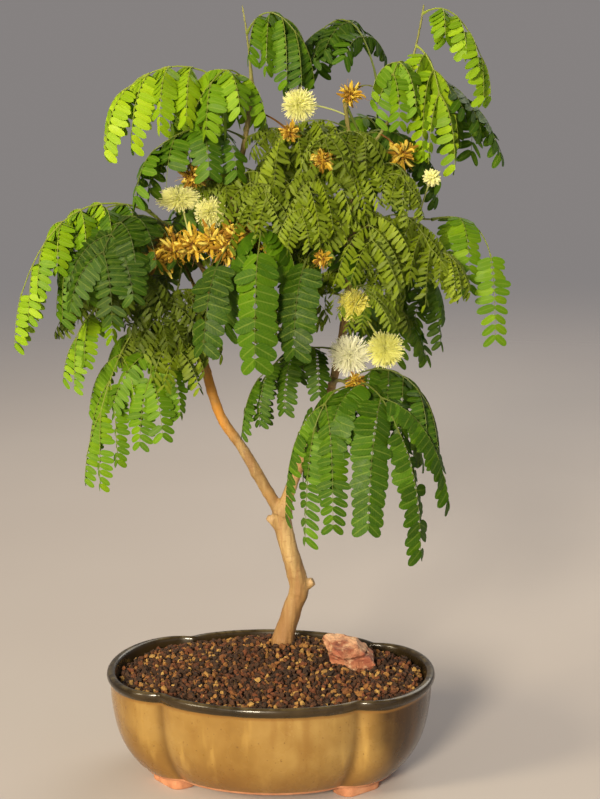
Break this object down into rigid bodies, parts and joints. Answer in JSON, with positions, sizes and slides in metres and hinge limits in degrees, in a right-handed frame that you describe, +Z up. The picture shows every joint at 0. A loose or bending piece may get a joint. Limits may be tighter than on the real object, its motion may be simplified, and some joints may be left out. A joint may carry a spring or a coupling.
{
  "type": "brazilian rain tree bonsai",
  "caption": "Small flowering bonsai tree with a forked trunk and feathery compound leaves, growing in a glazed four-lobed pot of granular soil with a rock.",
  "frame": {"origin": "middle of the whole object's box in plan, on the surface that the pot's feet stand on", "axes": "+Z up, +X along the pot's long side to the right as seen from the front, -Y to the front"},
  "size_m": [0.2808, 0.2256, 0.4711],
  "materials": {
    "pot_glaze": "gloss",
    "screen_plastic": "matte",
    "wire": "satin",
    "soil_granules": "matte",
    "rock": "matte",
    "bark": "satin",
    "leaf": "satin",
    "flower_fresh": "matte",
    "flower_dried": "matte"
  },
  "bodies": {
    "root": {"pot": "pot_glaze", "drain_screen_left": "screen_plastic", "drain_screen_right": "screen_plastic", "screen_wire_left": "wire", "screen_wire_right": "wire", "soil": "soil_granules", "rock": "rock", "trunk": "bark", "leaf_upper_left_1": "leaf", "leaf_upper_left_2": "leaf", "leaf_upper_left_3": "leaf", "leaf_upper_left_4": "leaf", "leaf_top_left": "leaf", "leaf_top_mid": "leaf", "leaf_top_right_1": "leaf", "leaf_top_right_2": "leaf", "leaf_top_right_3": "leaf", "leaf_top_right_4": "leaf", "leaf_left_1": "leaf", "leaf_left_2": "leaf", "leaf_left_3": "leaf", "leaf_left_4": "leaf", "leaf_low_left_1": "leaf", "leaf_low_left_2": "leaf", "leaf_low_left_3": "leaf", "leaf_low_left_4": "leaf", "leaf_front_1": "leaf", "leaf_front_2": "leaf", "leaf_right_1": "leaf", "leaf_right_2": "leaf", "leaf_centre_1": "leaf", "leaf_centre_2": "leaf", "leaf_centre_3": "leaf", "leaf_centre_4": "leaf", "leaf_centre_5": "leaf", "leaf_centre_6": "leaf", "leaf_centre_7": "leaf", "leaf_lower_mid": "leaf", "leaf_lower_right_1": "leaf", "leaf_lower_right_2": "leaf", "leaf_lower_right_3": "leaf", "leaf_back_1": "leaf", "leaf_back_2": "leaf", "leaf_back_3": "leaf", "leaf_back_4": "leaf", "leaf_back_5": "leaf", "leaf_back_6": "leaf", "leaf_back_7": "leaf", "flower_white_puff": "flower_fresh", "flower_yellow_puff": "flower_fresh", "flower_gold_puff": "flower_fresh", "flower_cream_puff_top": "flower_fresh", "flower_cream_puff_left": "flower_fresh", "flower_cream_puff_mid": "flower_fresh", "flower_bud": "flower_fresh", "flower_dried_head_high": "flower_dried", "flower_dried_head_top": "flower_dried", "flower_dried_head_right": "flower_dried", "flower_dried_head_left": "flower_dried", "flower_dried_head_mid": "flower_dried"}
  },
  "joints": []
}
